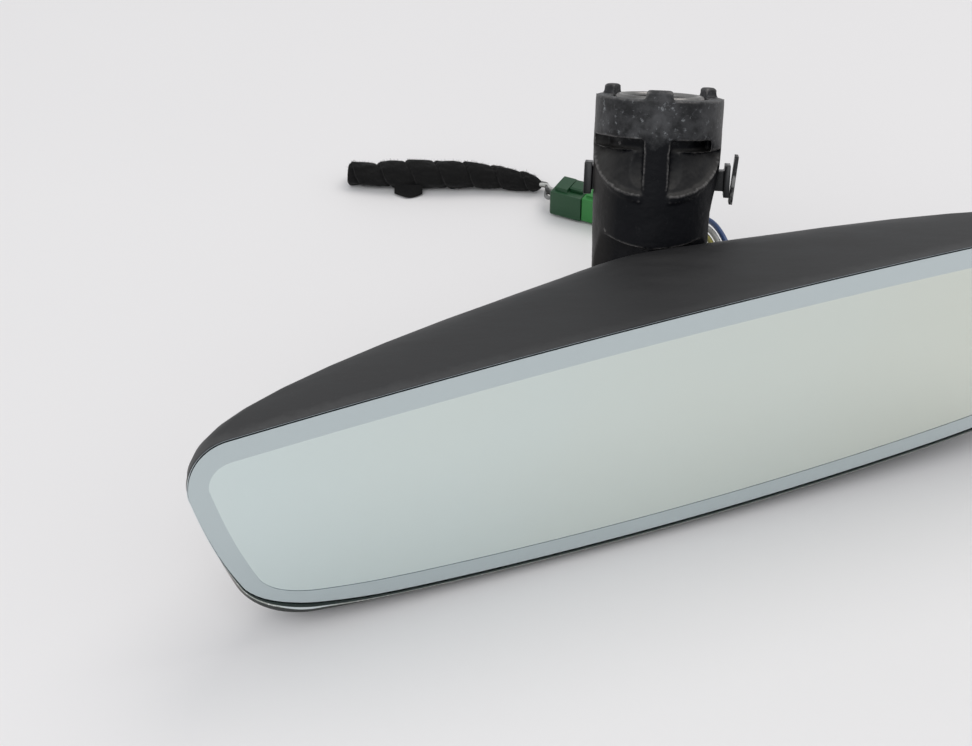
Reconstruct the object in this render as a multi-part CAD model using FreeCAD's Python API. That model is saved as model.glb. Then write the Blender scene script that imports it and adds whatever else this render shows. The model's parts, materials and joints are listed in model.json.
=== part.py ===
"""Interior rearview mirror: frameless dimming mirror head on a ball stud, cast stem with a round foot,
and a taped wiring tail that unplugs behind the stem.

Row frame, millimetres: origin at the centre of the foot's end face, +Z up, -Y towards the cabin.
The stem leans back by STEM_RAKE. The head is built in its own frame, with the middle of the glass front
at the origin, +X to the right, +Y into the head and +Z up, and is then set on the ball.
"""

import FreeCAD, Part
import math
import os

V = FreeCAD.Vector
X_AXIS, Y_AXIS, Z_AXIS = V(1, 0, 0), V(0, 1, 0), V(0, 0, 1)

# Stem and foot. Stem frame: the stem's axis is Z, the end face is z = 0, the front is -Y.
STEM_RAKE = 25.0
FOOT_R = 16.4
FOOT_H = 12.0
FOOT_BORE_R = 12.6
FOOT_BORE_DEPTH = 9.0
NUB_CIRCLE_R = 14.3
NUB_H = 2.4
SIDE_NUB = (3.7, 3.2)
FRONT_NUB = (6.7, 3.4)
STEM_LOW_R = 15.2
STEM_LEN = 47.0
STEM_TIP_LEN = 51.0
STEM_TIP_R = 11.5
SLOT_TOP, SLOT_H, SLOT_DEPTH = 9.9, 2.9, 4.2
WEB_W = 6.6
POCKET_H = 10.4
CHANNEL_W, CHANNEL_FRONT, CHANNEL_TOP = 20.0, -6.0, 15.0
RIB_T = 2.0

# Cover clips in the side walls: where their holes start and how tall they are, by side
CLIP_HOLES = {1: (-23.5, 5.4), -1: (-24.6, 6.0)}
CLIP_Y, CLIP_DEPTH = -1.5, 5.0
LEAF_T, LEAF_W, LEAF_H, LEAF_TILT = 0.9, 6.8, 12.4, 4.5

# Ball stud
BALL_DROP = 65.9
BALL_REACH = 22.0
BALL_R = 8.0
NECK_R = 4.0
SHANK_R = 4.5
SHANK_LEN = 9.0
BOSS_R = 8.0
BOSS_FACE = 20.5
STUD_ROOT = 44.0
SWING_GAP = 18.0
SWING_ANGLE = 29.0
SWING_TOP = 23.0
RUN_GAP = 0.05

# Head attitude at rest and its outline: arcs of half the outline, from the top centre to the left
HEAD_YAW = 26.5
HEAD_ROLL = -1.5
BALL_DEPTH = 28.0
TOP_ARC_R, TOP_ARC_TURN = 2205.0, 2.93
TOP_CORNER_R, TOP_CORNER_TURN = 10.2, 98.17
SIDE_ARC_R, SIDE_ARC_TURN = 284.0, 6.2
LOW_CORNER_R, LOW_CORNER_TURN = 21.5, 66.9

# Depths of the head's layers, from the glass front
GLASS_T = 3.0
GLASS_EDGE_R = 1.3
COAT_BACK = 3.12
RIM_Y = 3.3
CELL_Y = 3.6
REAR_GLASS_BACK = 5.8
FOAM_BACK = 6.8
CARRIER_BACK = 8.8
BOARD_Y, BOARD_T = 13.0, 1.6
BASE_BACK = 27.95
CLAMP_BACK = 34.0

# Insets of the layers from the outline
RING_INSET, RING_W, RING_SHIFT = 0.5, 4.9, 1.0
HOUSING_INSET, WALL = 0.35, 1.6
CLIP_INSET, CLIP_T = 2.6, 0.4
REAR_GLASS_INSET = 3.1
SEAL_INSET, GEL_INSET = 3.3, 4.5
FOAM_INSET = 4.8
CARRIER_INSET = 5.0

# Housing dome: depth, roundness along the length and across the height, and fall of the back
DOME_DEPTH = 44.2
DOME_LONG, DOME_LONG_END = 2.2, 1.31
DOME_HIGH, DOME_HIGH_END = 8.0, 6.0
DOME_FALL = 4.0
DOME_SECTIONS = (0.0, 0.07, 0.14, 0.22, 0.3, 0.4, 0.5, 0.6, 0.7, 0.78, 0.85, 0.9, 0.93)
OPENING_X, OPENING_Z, OPENING_UP = 22.0, 17.0, 3.0
TRIM_T, TRIM_GAP = 1.2, 0.05
WINDOW_SEAT = 0.1

# Ball socket
LINER_R, CUP_R = 9.5, 11.0
SOCKET_CONE = 62.0
SOCKET_CONE_UP = 13.0
BASE_X, BASE_Z, BASE_CORNER = 19.0, 17.0, 4.0
CLAMP_SCREW_X, CLAMP_SCREW_Z = 14.6, 12.8
SCREW_R, SCREW_HEAD_R, SCREW_HEAD_H = 1.5, 2.7, 1.9

# Electronics, right of the socket
BOARD_X0, BOARD_X1, BOARD_HALF_Z = 24.0, 86.0, 19.0
POST_R, POST_HOLE_R = 2.6, 1.0
LIGHT_X, LIGHT_Z, LIGHT_R = 60.0, 6.0, 3.4
GLARE_X, GLARE_Z, GLARE_R = 72.0, -8.0, 2.2
HEADER_X, HEADER_W, HEADER_H, HEADER_D, HEADER_WALL = 27.0, 7.0, 15.0, 8.0, 1.0
PACKAGES = ((45, -10, 10, 10, 1.6), (64, -11, 7, 5, 1.4), (47, 9, 8, 6, 2.2), (76, 4, 6, 6, 3.0))

# Wiring
WIRE_R = 0.75
FLOOR_Z = -83.4
PLUG_AT = V(-20.5, 73.0, -78.4)
PLUG_TURN = 158.8
PIN_PITCH = 1.9
CORD_R, CORD_PITCH, CORD_GAP = 0.55, 1.7, 1.6


def rounded_box(half_x, half_z, corner, y0, y1):
    """Block with four rounded edges along Y, centred on the Y axis."""
    box = Part.makeBox(2 * half_x, y1 - y0, 2 * half_z, V(-half_x, y0, -half_z))
    edges = [e for e in box.Edges if abs(e.tangentAt(e.FirstParameter).y) > 0.9]
    return box.makeFillet(corner, edges)


def tube(r_out, r_in, length, base, direction):
    outer = Part.makeCylinder(r_out, length, base, direction)
    return outer.cut(Part.makeCylinder(r_in, length, base, direction))


def group(shapes):
    return Part.makeCompound(shapes)


def fuse_all(shapes):
    return shapes[0].multiFuse(shapes[1:]).removeSplitter()


# ---------------------------------------------------------------- frames


def stem_placement():
    return FreeCAD.Placement(V(0, 0, 0), FreeCAD.Rotation(X_AXIS, -STEM_RAKE))


def ball_centre():
    return stem_placement().multVec(V(0, -BALL_REACH, -BALL_DROP))


def head_placement():
    turn = FreeCAD.Rotation(Z_AXIS, HEAD_YAW).multiply(FreeCAD.Rotation(Y_AXIS, HEAD_ROLL))
    offset = turn.multVec(V(0, BALL_DEPTH, 0))
    return FreeCAD.Placement(ball_centre().sub(offset), turn)


def plug_placement():
    return FreeCAD.Placement(PLUG_AT, FreeCAD.Rotation(Z_AXIS, PLUG_TURN))


def placed(shape, placement):
    return shape.transformed(placement.toMatrix())


# ---------------------------------------------------------------- outline of the glass


def half_outline(inset):
    """Arcs of the left half as (start, middle, end) points in X and Z, from the top centre down."""
    arcs = []
    point, heading = (0.0, -inset), math.pi
    turns = [
        (TOP_ARC_R, TOP_ARC_TURN),
        (TOP_CORNER_R, TOP_CORNER_TURN),
        (SIDE_ARC_R, SIDE_ARC_TURN),
        (LOW_CORNER_R, LOW_CORNER_TURN),
        (None, None),
    ]
    for radius, turn in turns:
        if radius is None:
            sweep = 2 * math.pi - heading
            r = -point[0] / math.sin(sweep)
        else:
            sweep = math.radians(turn)
            r = radius - inset
        centre = (point[0] - r * math.sin(heading), point[1] + r * math.cos(heading))
        stops = [heading + sweep * k / 2 for k in (0, 1, 2)]
        arc = [(centre[0] + r * math.sin(h), centre[1] - r * math.cos(h)) for h in stops]
        arcs.append(arc)
        point, heading = arc[-1], heading + sweep
    return arcs


def outline_height():
    return -half_outline(0.0)[-1][-1][1]


def outline_wire(inset, y, grow_x=1.0, grow_z=1.0, shift_z=0.0):
    """Closed outline, inset from the glass edge, scaled and set at depth y."""
    middle = outline_height() / 2
    left = half_outline(inset)
    right = [[(-p[0], p[1]) for p in reversed(arc)] for arc in reversed(left)]
    edges = []
    for arc in left + right:
        points = [V(p[0], 0, p[1] + middle) for p in arc]
        edges.append(Part.Arc(*points).toShape())
    matrix = FreeCAD.Matrix()
    matrix.scale(V(grow_x, 1, grow_z))
    wire = Part.Wire(edges)
    if (grow_x, grow_z) != (1.0, 1.0):
        wire = wire.transformGeometry(matrix)
    wire.translate(V(0, y, shift_z))
    return wire


def sheet(inset, y0, y1, shift_z=0.0):
    face = Part.Face(outline_wire(inset, y0, shift_z=shift_z))
    return face.extrude(V(0, y1 - y0, 0))


def frame_ring(inset, width, y0, y1, inner_shift=0.0):
    return sheet(inset, y0, y1).cut(sheet(inset + width, y0, y1, inner_shift))


# ---------------------------------------------------------------- glass pack


def front_glass():
    glass = sheet(0.0, 0.0, GLASS_T)
    front = [e for e in glass.Edges if e.BoundBox.YMax < 0.01]
    return glass.makeFillet(GLASS_EDGE_R, front)


def chrome_ring():
    return frame_ring(RING_INSET, RING_W, GLASS_T, COAT_BACK, -RING_SHIFT)


def edge_gasket():
    return frame_ring(HOUSING_INSET + 0.25, WALL - 0.4, COAT_BACK, RIM_Y)


def cell_seal():
    return frame_ring(SEAL_INSET, GEL_INSET - SEAL_INSET, COAT_BACK, CELL_Y)


def dimming_gel():
    return sheet(GEL_INSET, COAT_BACK, CELL_Y)


def rear_glass():
    return sheet(REAR_GLASS_INSET, CELL_Y, REAR_GLASS_BACK)


def bus_clips():
    """Strip contacts along the top and bottom edges of the rear glass."""
    ring = frame_ring(CLIP_INSET, CLIP_T, CELL_Y, REAR_GLASS_BACK + 0.4)
    middle = Part.makeBox(120, 20, 90, V(-60, 0, -45))
    return ring.common(middle)


def glare_hole(y0, y1):
    return Part.makeCylinder(GLARE_R + 0.5, y1 - y0, V(GLARE_X, y0, GLARE_Z), Y_AXIS)


def foam_tape():
    return sheet(FOAM_INSET, REAR_GLASS_BACK, FOAM_BACK).cut(glare_hole(0, 20))


def board_posts():
    half_z = BOARD_HALF_Z - 5
    return [(x, z) for x in (BOARD_X0 + 5, BOARD_X1 - 5) for z in (-half_z, half_z)]


def clamp_corners():
    return [(x, z) for x in (-CLAMP_SCREW_X, CLAMP_SCREW_X) for z in (-CLAMP_SCREW_Z, CLAMP_SCREW_Z)]


def carrier_plate():
    plate = sheet(CARRIER_INSET, FOAM_BACK, CARRIER_BACK).cut(glare_hole(0, 20))
    for x, z in board_posts():
        plate = plate.fuse(Part.makeCylinder(POST_R, BOARD_Y - CARRIER_BACK, V(x, CARRIER_BACK, z), Y_AXIS))
    for x, z in board_posts():
        plate = plate.cut(Part.makeCylinder(POST_HOLE_R, 20, V(x, FOAM_BACK + 0.6, z), Y_AXIS))
    for x, z in clamp_corners():
        plate = plate.cut(Part.makeCylinder(SCREW_R + 0.02, 20, V(x, FOAM_BACK + 0.5, z), Y_AXIS))
    return plate


# ---------------------------------------------------------------- housing


def dome(inset, depth):
    """Boat-hulled dome behind the outline, closed by a small flat cap."""
    sections = []
    for u in DOME_SECTIONS:
        grow_x = (1 - u**DOME_LONG) ** DOME_LONG_END
        grow_z = (1 - u**DOME_HIGH) ** (1 / DOME_HIGH_END)
        y = RIM_Y + u * (depth - RIM_Y)
        sections.append(outline_wire(inset, y, grow_x, grow_z, -DOME_FALL * u))
    return Part.makeLoft(sections, True, True)


def opening(grow, y0, y1):
    ellipse = Part.Ellipse(V(0, y0, OPENING_UP), OPENING_X - grow, OPENING_Z - grow)
    edge = ellipse.toShape()
    edge.rotate(V(0, y0, OPENING_UP), X_AXIS, 90)
    return Part.Face(Part.Wire(edge)).extrude(V(0, y1 - y0, 0))


def housing_shapes():
    outer = dome(HOUSING_INSET, DOME_DEPTH)
    inner = dome(HOUSING_INSET + WALL, DOME_DEPTH - WALL - 0.6)
    shell = outer.cut(inner)
    window = Part.makeCylinder(LIGHT_R, 60, V(LIGHT_X, 0, LIGHT_Z), Y_AXIS)
    window_seat = Part.makeCylinder(LIGHT_R + WINDOW_SEAT, 60, V(LIGHT_X, 0, LIGHT_Z), Y_AXIS)
    trim_front = CLAMP_BACK + SCREW_HEAD_H + 0.4
    trim = opening(TRIM_GAP, trim_front, 60).cut(opening(TRIM_T, 0, 70)).common(outer)
    rear_housing = shell.cut(window_seat).cut(opening(0.0, 20, 60))
    return {
        "rear_housing": rear_housing,
        "recess_trim": trim,
        "sensor_window": window.common(shell),
    }


# ---------------------------------------------------------------- electronics


def circuit_board():
    width = (BOARD_X1 - BOARD_X0) / 2
    board = rounded_box(width, BOARD_HALF_Z, 2.0, BOARD_Y, BOARD_Y + BOARD_T)
    board.translate(V(BOARD_X0 + width, 0, 0))
    for x, z in board_posts():
        board = board.cut(Part.makeCylinder(POST_HOLE_R + 0.15, 30, V(x, 0, z), Y_AXIS))
    return board


def screw(radius, head_r, head_h, x, z, tip, seat):
    """Pan-head screw along Y: the tip at y = tip, the head on the seat."""
    shaft = Part.makeCylinder(radius, seat - tip, V(x, tip, z), Y_AXIS)
    head = Part.makeCylinder(head_r, head_h, V(x, seat, z), Y_AXIS)
    head = head.makeFillet(head_h * 0.4, [e for e in head.Edges if e.BoundBox.YMin > seat + head_h - 0.01])
    socket = Part.makeCylinder(head_r * 0.42, head_h, V(x, seat + head_h * 0.5, z), Y_AXIS)
    return shaft.fuse(head).cut(socket)


def board_screws():
    seat = BOARD_Y + BOARD_T
    tip = FOAM_BACK + 1.2
    return group([screw(POST_HOLE_R - 0.02, 2.0, 1.3, x, z, tip, seat) for x, z in board_posts()])


def board_components():
    """Regulator, controller and driver packages on the back of the board."""
    back = BOARD_Y + BOARD_T
    blocks = []
    for x, z, wide, tall, thick in PACKAGES:
        blocks.append(Part.makeBox(wide, thick, tall, V(x - wide / 2, back, z - tall / 2)))
    return group(blocks)


def board_header():
    back = BOARD_Y + BOARD_T
    shell = Part.makeBox(HEADER_W, HEADER_D, HEADER_H, V(HEADER_X, back, -HEADER_H / 2))
    inner_w, inner_h = HEADER_W - 2 * HEADER_WALL, HEADER_H - 2 * HEADER_WALL
    cavity_at = V(HEADER_X + HEADER_WALL, back + 2 * HEADER_WALL, -inner_h / 2)
    return shell.cut(Part.makeBox(inner_w, HEADER_D, inner_h, cavity_at))


def light_sensor():
    return Part.makeCylinder(LIGHT_R - 0.8, 3.2, V(LIGHT_X, BOARD_Y + BOARD_T, LIGHT_Z), Y_AXIS)


def glare_sensor():
    return Part.makeCylinder(GLARE_R, BOARD_Y - FOAM_BACK, V(GLARE_X, FOAM_BACK, GLARE_Z), Y_AXIS)


# ---------------------------------------------------------------- ball socket, head frame


def socket_cone():
    """Swing space of the stud: a cone from the ball centre out of the back of the head."""
    up = math.radians(SOCKET_CONE_UP)
    axis = V(0, math.cos(up), math.sin(up))
    length = 60
    return Part.makeCone(0, length * math.tan(math.radians(SOCKET_CONE)), length, V(0, BALL_DEPTH, 0), axis)


def ball_shell(r_in, r_out):
    centre = V(0, BALL_DEPTH, 0)
    shell = Part.makeSphere(r_out, centre).cut(Part.makeSphere(r_in, centre))
    return shell.cut(socket_cone())


def ball_liner():
    return ball_shell(BALL_R + RUN_GAP, LINER_R)


def pressure_cup():
    return ball_shell(LINER_R + RUN_GAP, CUP_R)


def cup_space():
    return Part.makeSphere(CUP_R + RUN_GAP, V(0, BALL_DEPTH, 0))


def clamp_holes(radius):
    return [Part.makeCylinder(radius, 60, V(x, 0, z), Y_AXIS) for x, z in clamp_corners()]


def socket_base():
    base = rounded_box(BASE_X, BASE_Z, BASE_CORNER, CARRIER_BACK, BASE_BACK).cut(cup_space())
    base = base.cut(Part.makeCylinder(7.6, 6.0, V(0, 15.4, 0), Y_AXIS))
    for hole in clamp_holes(SCREW_R + 0.02):
        base = base.cut(hole)
    return base


def friction_spring():
    return tube(7.2, 3.6, 0.7, V(0, 15.4, 0), Y_AXIS)


def clamp_plate():
    plate = rounded_box(BASE_X, BASE_Z, BASE_CORNER, BASE_BACK, CLAMP_BACK)
    plate = plate.cut(cup_space()).cut(socket_cone())
    for hole in clamp_holes(SCREW_R + 0.1):
        plate = plate.cut(hole)
    return plate


def clamp_screws():
    tip = FOAM_BACK + 0.8
    size = (SCREW_R, SCREW_HEAD_R, SCREW_HEAD_H)
    return group([screw(*size, x, z, tip, CLAMP_BACK) for x, z in clamp_corners()])


# ---------------------------------------------------------------- stem, stem frame


def stud_direction():
    """Unit vector from the ball centre up to the stem's axis, in the stem frame."""
    direction = V(0, BALL_REACH, BALL_DROP - STUD_ROOT)
    return direction.normalize()


def stud_point(distance):
    """Point on the stud's axis at a distance from the ball centre, in the stem frame."""
    return V(0, -BALL_REACH, -BALL_DROP).add(stud_direction().multiply(distance))


def stem_body():
    top = Part.makeCylinder(FOOT_R, FOOT_H, V(0, 0, -FOOT_H))
    body = Part.makeCone(STEM_LOW_R, FOOT_R, STEM_LEN - FOOT_H, V(0, 0, -STEM_LEN))
    tip = Part.makeCone(STEM_TIP_R, STEM_LOW_R, STEM_TIP_LEN - STEM_LEN, V(0, 0, -STEM_TIP_LEN))
    return fuse_all([top, body, tip])


def nub(size, angle):
    """Block on the end face, bevelled at its top, at an angle round the foot."""
    width, depth = size
    block = Part.makeBox(width, depth, NUB_H + 1, V(-width / 2, -NUB_CIRCLE_R - depth / 2, -1))
    top = [e for e in block.Edges if e.BoundBox.ZMin > NUB_H - 0.01]
    block = block.makeChamfer(0.5, top)
    block.rotate(V(0, 0, 0), Z_AXIS, angle)
    return block


def slot_pair():
    """Horizontal slots round the front, one each side of the web."""
    ring = tube(FOOT_R + 2, FOOT_R - SLOT_DEPTH, SLOT_H, V(0, 0, -SLOT_TOP - SLOT_H), Z_AXIS)
    front = Part.makeBox(2 * FOOT_R - 3, 20, 20, V(-FOOT_R + 0.2, -20 - 2, -25))
    web = Part.makeBox(WEB_W, 40, 40, V(-WEB_W / 2, -40, -40))
    return ring.common(front).cut(web)


def pocket(side):
    """Scoop below a slot: deep under the slot and running out down the front."""
    half_w = 10.5
    centre = V(side * (WEB_W / 2 + 0.6), -FOOT_R - 0.4, -SLOT_TOP - SLOT_H + 0.2)
    scoop = Part.makeSphere(1.0)
    matrix = FreeCAD.Matrix()
    matrix.scale(V(half_w, 5.0, POCKET_H))
    scoop = scoop.transformGeometry(matrix)
    scoop.translate(centre)
    below = Part.makeBox(40, 40, 40, V(-20, -40, -40 - SLOT_TOP - SLOT_H + 0.2))
    clear = Part.makeBox(40, 40, 60, V(-20 + side * (20 + WEB_W / 2), -30, -50))
    return scoop.common(below).common(clear)


def right_flank():
    """Space outside the right wall, which steps in below the clip."""
    points = [V(22, -30, -13.5), V(16.7, -30, -14.5), V(14.3, -30, -28.5), V(14.0, -30, -60), V(22, -30, -60)]
    return Part.Face(Part.makePolygon(points + points[:1])).extrude(V(0, 60, 0))


def swing_space():
    """Wedge in front of the stem's lower end that the back of the head sweeps as it swivels."""
    half_w, front, low = 25.0, -20.0, -40.0
    flank = SWING_GAP + half_w * math.tan(math.radians(SWING_ANGLE))
    corners = [(-half_w, front), (half_w, front), (half_w, flank), (0, SWING_GAP), (-half_w, flank)]
    points = [V(x, y, low) for x, y in corners]
    wedge = Part.Face(Part.makePolygon(points + points[:1])).extrude(V(0, 0, SWING_TOP - low))
    wedge.translate(ball_centre())
    return placed(wedge, stem_placement().inverse())


def stem_casting():
    body = stem_body()
    body = body.cut(Part.makeCylinder(FOOT_BORE_R, FOOT_BORE_DEPTH + 1, V(0, 0, -FOOT_BORE_DEPTH)))
    for size, angle in ((FRONT_NUB, 0), (SIDE_NUB, 120), (SIDE_NUB, -120)):
        body = body.fuse(nub(size, angle))
    channel = Part.makeBox(CHANNEL_W, 40, 60, V(-CHANNEL_W / 2, CHANNEL_FRONT, -60 - CHANNEL_TOP))
    rib = Part.makeBox(CHANNEL_W + 2, 16, RIB_T, V(-CHANNEL_W / 2 - 1, CHANNEL_FRONT - 1, -31))
    body = body.cut(channel).fuse(rib)
    for cutter in (slot_pair(), pocket(-1), pocket(1), right_flank(), swing_space()):
        body = body.cut(cutter)
    reach = math.hypot(BALL_REACH, BALL_DROP - STUD_ROOT)
    boss = Part.makeCylinder(BOSS_R, reach + 5 - BOSS_FACE, stud_point(BOSS_FACE), stud_direction())
    body = body.fuse(boss)
    lead_in = 5.0
    socket = Part.makeCylinder(
        SHANK_R + 0.02, SHANK_LEN + lead_in, stud_point(BOSS_FACE - lead_in), stud_direction()
    )
    foot_hole = Part.makeCylinder(2.02, 5.8, V(0, 0, -FOOT_BORE_DEPTH - 5.8))
    return body.cut(socket).cut(foot_hole).cut(clip_hole(-1)).cut(clip_hole(1)).removeSplitter()


def ball_stud():
    centre = stud_point(0)
    ball = Part.makeSphere(BALL_R, centre)
    neck = Part.makeCylinder(NECK_R, BOSS_FACE, centre, stud_direction())
    shank = Part.makeCylinder(SHANK_R, SHANK_LEN - 0.5, stud_point(BOSS_FACE), stud_direction())
    return fuse_all([ball, neck, shank])


def spring_seat():
    seat = tube(FOOT_BORE_R - 0.05, 2.2, FOOT_BORE_DEPTH - 1.5, V(0, 0, -FOOT_BORE_DEPTH), Z_AXIS)
    return seat.cut(Part.makeCylinder(6.5, 5, V(0, 0, -5.5)))


def foot_spring():
    """Round wire ring that grips the windscreen button, open at the back."""
    ring = Part.makeTorus(10.4, 1.0, V(0, 0, -0.5))
    return ring.cut(Part.makeBox(5, 20, 10, V(-2.5, 0, -5)))


def foot_screw():
    shaft = Part.makeCylinder(2.0, 9.0, V(0, 0, -FOOT_BORE_DEPTH - 5.5))
    head = Part.makeCylinder(3.8, 2.6, V(0, 0, -5.5))
    socket = Part.makeCylinder(1.7, 2, V(0, 0, -4.5))
    return shaft.fuse(head).cut(socket)


def clip_hole(side):
    """Hole through a side wall for a cover clip."""
    low, tall = CLIP_HOLES[side]
    return Part.makeBox(9, 5.2, tall, V(9 if side > 0 else -18, CLIP_Y - 0.1, low))


def left_cover_clip():
    """Plastic snap pad that stands out of the left wall."""
    shank = Part.makeBox(6.8, CLIP_DEPTH, 5.8, V(-16.6, CLIP_Y, -24.5))
    pad = Part.makeBox(2.0, 6.6, 8.2, V(-18.4, -2.3, -25.7))
    return fuse_all([shank, pad])


def right_cover_clip():
    """Plastic clip through the right wall, with a head that holds the leaf."""
    shank = Part.makeBox(9.0, CLIP_DEPTH, 5.2, V(9.3, CLIP_Y, -23.4))
    head = Part.makeBox(1.5, 6.4, 8.4, V(17.6, -2.2, -25.0))
    return fuse_all([shank, head])


def clip_leaf():
    """Sprung leaf on the right clip, tilted outwards at its top."""
    foot = V(19.12, -2.4, -26.6)
    leaf = Part.makeBox(LEAF_T, LEAF_W, LEAF_H, foot)
    leaf.rotate(foot, Y_AXIS, LEAF_TILT)
    return leaf


# ---------------------------------------------------------------- wiring


def pipe(points, radius):
    """Round wire along a smooth curve through points."""
    curve = Part.BSplineCurve()
    curve.interpolate(points)
    edge = curve.toShape()
    start = edge.tangentAt(edge.FirstParameter)
    profile = Part.Wire(Part.makeCircle(radius, points[0], start))
    return Part.Wire(edge).makePipeShell([profile], True, False)


def pigtail_stations():
    """Points along the pigtail, each with the way from the middle wire to the outer one."""
    ball = ball_centre()
    plug = plug_placement()
    outer_slot = plug.Rotation.multVec(V(0, -PIN_PITCH, 0))
    route = [
        (V(6.2, 15.0, 3.4), V(0.0, 0.0, -1.9)),
        (V(11.4, 22.5, 1.7), V(0.9, -0.9, -1.4)),
        (V(17.9, 29.5, 7.4), V(1.6, -0.9, -0.3)),
        (V(18.2, 34.3, 17.0), V(1.7, 0.2, 0.8)),
        (V(16.0, 46.2, 20.6), V(0.9, 0.9, 1.4)),
        (V(8.5, 57.5, 14.6), V(0.5, 0.9, 1.6)),
        (V(4.0, 76.0, -3.0), V(0.6, 1.1, 1.4)),
        (V(6.0, 98.0, -22.0), V(1.3, 0.9, 1.1)),
    ]
    stations = [(ball.add(point), outward) for point, outward in route]
    for x in (-19.0, -13.0, -9.2):
        stations.append((plug.multVec(V(x, 0, 0)), outer_slot))
    return stations


def pigtail_wire(lane):
    """Wire from the recess beside the stud, round the right of the stem and back to the receptacle."""
    return pipe([point.add(V(outward).multiply(lane)) for point, outward in pigtail_stations()], WIRE_R)


def lanes():
    return (-1, 0, 1)


def receptacle():
    shell = Part.makeBox(11, 9.4, 8.0, V(-11, -4.7, -4.0))
    shell = shell.cut(Part.makeBox(8.0, 7.4, 5.8, V(-8, -3.7, -2.9)))
    ribs = [Part.makeBox(9, 1.2, 0.8, V(-10, y, 4.0)) for y in (-3.4, 2.2)]
    for lane in lanes():
        shell = shell.cut(Part.makeCylinder(WIRE_R + 0.1, 6, V(-12, lane * PIN_PITCH, 0), X_AXIS))
    return fuse_all([shell] + ribs)


def receptacle_pins():
    return group([Part.makeCylinder(0.34, 6.6, V(-9.1, lane * PIN_PITCH, 0), X_AXIS) for lane in lanes()])


def plug_housing():
    body = Part.makeBox(10.6, 10.0, 8.0, V(0.2, -5.0, -4.2))
    body = body.makeChamfer(0.5, [e for e in body.Edges if e.BoundBox.XMin > 10.7])
    step = Part.makeBox(4.2, 7.0, 1.2, V(5.4, -3.5, 3.8))
    tongue = Part.makeBox(7.4, 7.2, 5.6, V(-7.0, -3.6, -2.8))
    plug = fuse_all([body, step, tongue])
    for lane in lanes():
        plug = plug.cut(Part.makeCylinder(0.9, 20, V(-8, lane * PIN_PITCH, 0), X_AXIS))
    return plug


def plug_lock():
    """Lock bar on top of the plug, in front of the step."""
    bar = Part.makeBox(4.4, 4.6, 1.5, V(0.8, -2.3, 3.8))
    return bar.makeChamfer(0.4, [e for e in bar.Edges if e.BoundBox.ZMin > 5.2])


def plug_terminals():
    return group([tube(0.85, 0.4, 11.0, V(-6.6, lane * PIN_PITCH, 0), X_AXIS) for lane in lanes()])


def sleeve_path():
    """Centres and radii of the taped sleeve, from the plug end to the cut end."""
    radii = (2.5, 3.3, 4.0, 4.3, 4.3, 3.7, 3.3)
    along = (-35.5, -46, -57, -68, -79, -89, -97)
    across = (85.5, 87.0, 87.0, 86.0, 85.2, 85.0, 85.6)
    return [(V(x, y, FLOOR_Z + r + 0.2), r) for x, y, r in zip(along, across, radii)]


def harness_sleeve():
    """Taped bundle lying on the ground behind the stem."""
    stations = sleeve_path()
    wires = []
    for i, (centre, radius) in enumerate(stations):
        before = stations[max(i - 1, 0)][0]
        after = stations[min(i + 1, len(stations) - 1)][0]
        wires.append(Part.Wire(Part.makeCircle(radius, centre, after.sub(before))))
    return Part.makeLoft(wires, True, False)


def plug_wires():
    plug = plug_placement()
    start, _ = sleeve_path()[0]
    second, _ = sleeve_path()[1]
    end = start.sub(second.sub(start).normalize().multiply(CORD_GAP))
    cords = []
    for lane in lanes():
        straight = [plug.multVec(V(x, lane * PIN_PITCH, 0)) for x in (4.6, 8.0, 11.4)]
        cords.append(pipe(straight + [end.add(V(0, 0, -lane * CORD_PITCH))], CORD_R))
    return group(cords)


# ---------------------------------------------------------------- assembly


def head_parts():
    shapes = {
        "front_glass": front_glass(),
        "chrome_ring": chrome_ring(),
        "edge_gasket": edge_gasket(),
        "cell_seal": cell_seal(),
        "dimming_gel": dimming_gel(),
        "rear_glass": rear_glass(),
        "bus_clips": bus_clips(),
        "foam_tape": foam_tape(),
        "carrier_plate": carrier_plate(),
        "circuit_board": circuit_board(),
        "board_screws": board_screws(),
        "board_components": board_components(),
        "board_header": board_header(),
        "light_sensor": light_sensor(),
        "glare_sensor": glare_sensor(),
        "ball_liner": ball_liner(),
        "pressure_cup": pressure_cup(),
        "socket_base": socket_base(),
        "friction_spring": friction_spring(),
        "clamp_plate": clamp_plate(),
        "clamp_screws": clamp_screws(),
    }
    shapes.update(housing_shapes())
    return shapes


def stem_parts():
    return {
        "stem_casting": stem_casting(),
        "ball_stud": ball_stud(),
        "spring_seat": spring_seat(),
        "foot_spring": foot_spring(),
        "foot_screw": foot_screw(),
        "left_cover_clip": left_cover_clip(),
        "right_cover_clip": right_cover_clip(),
        "clip_leaf": clip_leaf(),
    }


def plug_parts():
    return {
        "receptacle": receptacle(),
        "receptacle_pins": receptacle_pins(),
        "plug_housing": plug_housing(),
        "plug_lock": plug_lock(),
        "plug_terminals": plug_terminals(),
    }


def wiring_parts():
    return {
        "blue_wire": pigtail_wire(1),
        "grey_wire": pigtail_wire(0),
        "yellow_wire": pigtail_wire(-1),
        "plug_wires": plug_wires(),
        "harness_sleeve": harness_sleeve(),
    }


def main():
    os.makedirs("parts", exist_ok=True)
    frames = (
        (head_parts(), head_placement()),
        (stem_parts(), stem_placement()),
        (plug_parts(), plug_placement()),
        (wiring_parts(), FreeCAD.Placement()),
    )
    for shapes, placement in frames:
        for name, shape in shapes.items():
            placed(shape, placement).exportStep("parts/" + name + ".step")


main()
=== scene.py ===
import bmesh
import bpy
import json
import math
import random
from mathutils import Matrix, Vector, noise


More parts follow.
